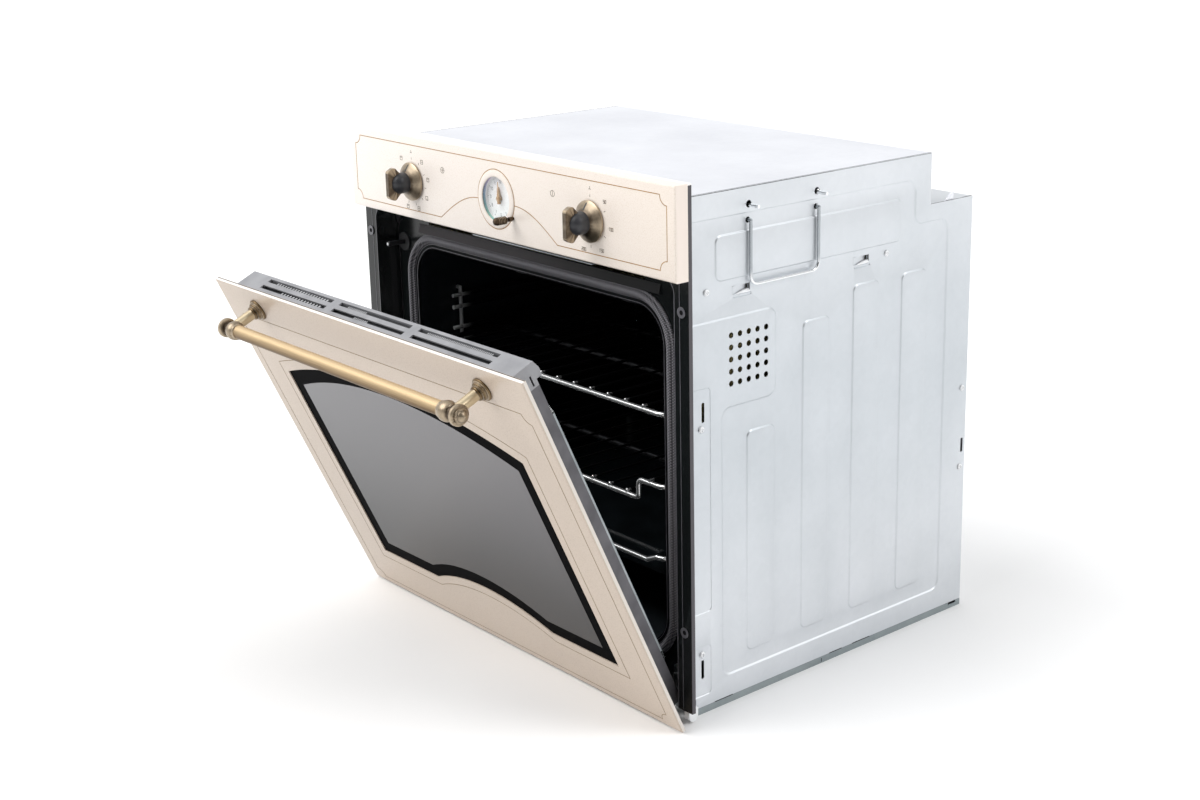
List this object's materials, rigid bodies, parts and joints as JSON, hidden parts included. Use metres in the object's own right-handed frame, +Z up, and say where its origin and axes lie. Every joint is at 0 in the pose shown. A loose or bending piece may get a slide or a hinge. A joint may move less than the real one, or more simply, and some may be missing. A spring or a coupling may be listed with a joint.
{
  "type": "built-in electric oven",
  "caption": "Built-in electric oven with a drop-down glazed door, bar handle, winged knobs, round clock, wire racks on side rails, a drip tray and a pressed sheet housing.",
  "frame": {"origin": "centre of the housing's underside, on the plane of the base", "axes": "+Z up, +Y from the door towards the rear panel, +X to the right as seen from the front"},
  "size_m": [0.595, 0.7433, 0.594],
  "materials": {
    "cream_enamel": "gloss",
    "tan_enamel": "gloss",
    "black_enamel": "gloss",
    "cavity_enamel": "gloss",
    "galvanised": "matte",
    "inner_steel": "satin",
    "seal_fabric": "matte",
    "mineral_wool": "matte",
    "heater_steel": "matte",
    "fan_steel": "satin",
    "switch_plastic": "matte",
    "dark_plastic": "matte",
    "cap_plastic": "satin",
    "side_paint": "satin",
    "rail_chrome": "gloss",
    "satin_brass": "satin",
    "bronze": "satin",
    "dial_white": "satin",
    "hand_bronze": "satin",
    "clear_glass": "gloss",
    "door_glass": "gloss",
    "pane_glass": "gloss",
    "lamp_ceramic": "matte",
    "hinge_zinc": "satin",
    "screw_zinc": "satin"
  },
  "bodies": {
    "housing": {"front_frame": "black_enamel", "door_seal": "seal_fabric", "cavity_liner": "cavity_enamel", "cavity_back": "cavity_enamel", "fan_baffle": "cavity_enamel", "ring_element": "heater_steel", "grill_element": "heater_steel", "bottom_element": "heater_steel", "fan_motor": "inner_steel", "blower_housing": "galvanised", "blower_motor": "inner_steel", "insulation": "mineral_wool", "side_rails": "rail_chrome", "side_panel_left": "galvanised", "side_panel_right": "galvanised", "roof_panel": "galvanised", "rear_panel": "galvanised", "fan_cover": "galvanised", "base_tray": "galvanised", "control_bracket": "galvanised", "selector_switch": "switch_plastic", "thermostat": "switch_plastic", "clock_body": "dark_plastic", "clock_dial": "dial_white", "clock_glass": "clear_glass", "clock_ring": "cream_enamel", "fascia": "cream_enamel", "lamp_socket": "lamp_ceramic", "lamp_lens": "clear_glass", "terminal_box": "dark_plastic", "housing_screws": "screw_zinc", "hinge_arms": "hinge_zinc", "locating_pin": "hinge_zinc"},
    "door": {"door_panel": "tan_enamel", "outer_glass": "door_glass", "middle_glass": "pane_glass", "inner_glass": "pane_glass", "door_sides": "side_paint", "door_cap": "cap_plastic", "door_bottom_rail": "side_paint", "hinge_channels": "hinge_zinc", "handle_bar": "satin_brass", "handle_posts": "bronze", "handle_finials": "bronze"},
    "tray": {"tray_frame": "rail_chrome", "drip_tray": "black_enamel"},
    "function_knob": {"function_knob": "bronze"},
    "thermostat_knob": {"thermostat_knob": "bronze"},
    "timer_knob": {"timer_knob": "bronze"},
    "minute_hand": {"minute_hand": "hand_bronze"},
    "hour_hand": {"hour_hand": "hand_bronze"},
    "fan_wheel": {"fan_wheel": "fan_steel"},
    "blower_rotor": {"blower_rotor": "fan_steel"},
    "rack_upper": {"rack_upper": "rail_chrome"},
    "rack_lower": {"rack_lower": "rail_chrome", "rack_lower_frame": "rail_chrome"},
    "bail_left": {"bail_left": "rail_chrome"},
    "bail_right": {"bail_right": "rail_chrome"},
    "hinge_lock_left": {"hinge_lock_left": "hinge_zinc"},
    "hinge_lock_right": {"hinge_lock_right": "hinge_zinc"}
  },
  "joints": [
    {"name": "door_hinge", "type": "hinge", "parent": "housing", "child": "door", "pos_m": [0, -0.219, 0.014], "axis": [1, 0, 0], "range_deg": [-24.6, 65.4]},
    {"name": "function_turn", "type": "hinge", "parent": "housing", "child": "function_knob", "pos_m": [-0.165, -0.254, 0.54], "axis": [0, 1, 0], "continuous": true},
    {"name": "thermostat_turn", "type": "hinge", "parent": "housing", "child": "thermostat_knob", "pos_m": [0.165, -0.254, 0.54], "axis": [0, 1, 0], "range_deg": [0, 270]},
    {"name": "timer_turn", "type": "hinge", "parent": "housing", "child": "timer_knob", "pos_m": [0.03039, -0.254, 0.52324], "axis": [0, 1, 0], "continuous": true},
    {"name": "minute_hand_turn", "type": "hinge", "parent": "housing", "child": "minute_hand", "pos_m": [0, -0.254, 0.541], "axis": [0, 1, 0], "continuous": true},
    {"name": "hour_hand_turn", "type": "hinge", "parent": "housing", "child": "hour_hand", "pos_m": [0, -0.254, 0.541], "axis": [0, 1, 0], "continuous": true},
    {"name": "fan_spin", "type": "hinge", "parent": "housing", "child": "fan_wheel", "pos_m": [0, 0.1772, 0.255], "axis": [0, 1, 0], "continuous": true},
    {"name": "blower_spin", "type": "hinge", "parent": "housing", "child": "blower_rotor", "pos_m": [0, -0.004, 0.512], "axis": [1, 0, 0], "continuous": true},
    {"name": "rack_upper_slide", "type": "slide", "parent": "housing", "child": "rack_upper", "axis": [0, -1, 0], "range_m": [0, 0.012]},
    {"name": "rack_lower_slide", "type": "slide", "parent": "housing", "child": "rack_lower", "axis": [0, -1, 0], "range_m": [0, 0.012]},
    {"name": "tray_slide", "type": "slide", "parent": "housing", "child": "tray", "axis": [0, -1, 0], "range_m": [0, 0.012]},
    {"name": "bail_right_swing", "type": "hinge", "parent": "housing", "child": "bail_right", "pos_m": [0.2765, 0, 0.54], "axis": [0, -1, 0], "range_deg": [0, 25]},
    {"name": "bail_left_swing", "type": "hinge", "parent": "housing", "child": "bail_left", "pos_m": [-0.2765, 0, 0.54], "axis": [0, 1, 0], "range_deg": [0, 25]},
    {"name": "hinge_lock_right_flip", "type": "hinge", "parent": "housing", "child": "hinge_lock_right", "pos_m": [0.253, -0.217, 0.041], "axis": [1, 0, 0], "range_deg": [0, 55]},
    {"name": "hinge_lock_left_flip", "type": "hinge", "parent": "housing", "child": "hinge_lock_left", "pos_m": [-0.253, -0.217, 0.041], "axis": [1, 0, 0], "range_deg": [0, 55]}
  ],
  "couplings": [
    {"joint": "minute_hand_turn", "follows": "timer_turn", "ratio": 1},
    {"joint": "hour_hand_turn", "follows": "timer_turn", "ratio": 0.083333}
  ]
}
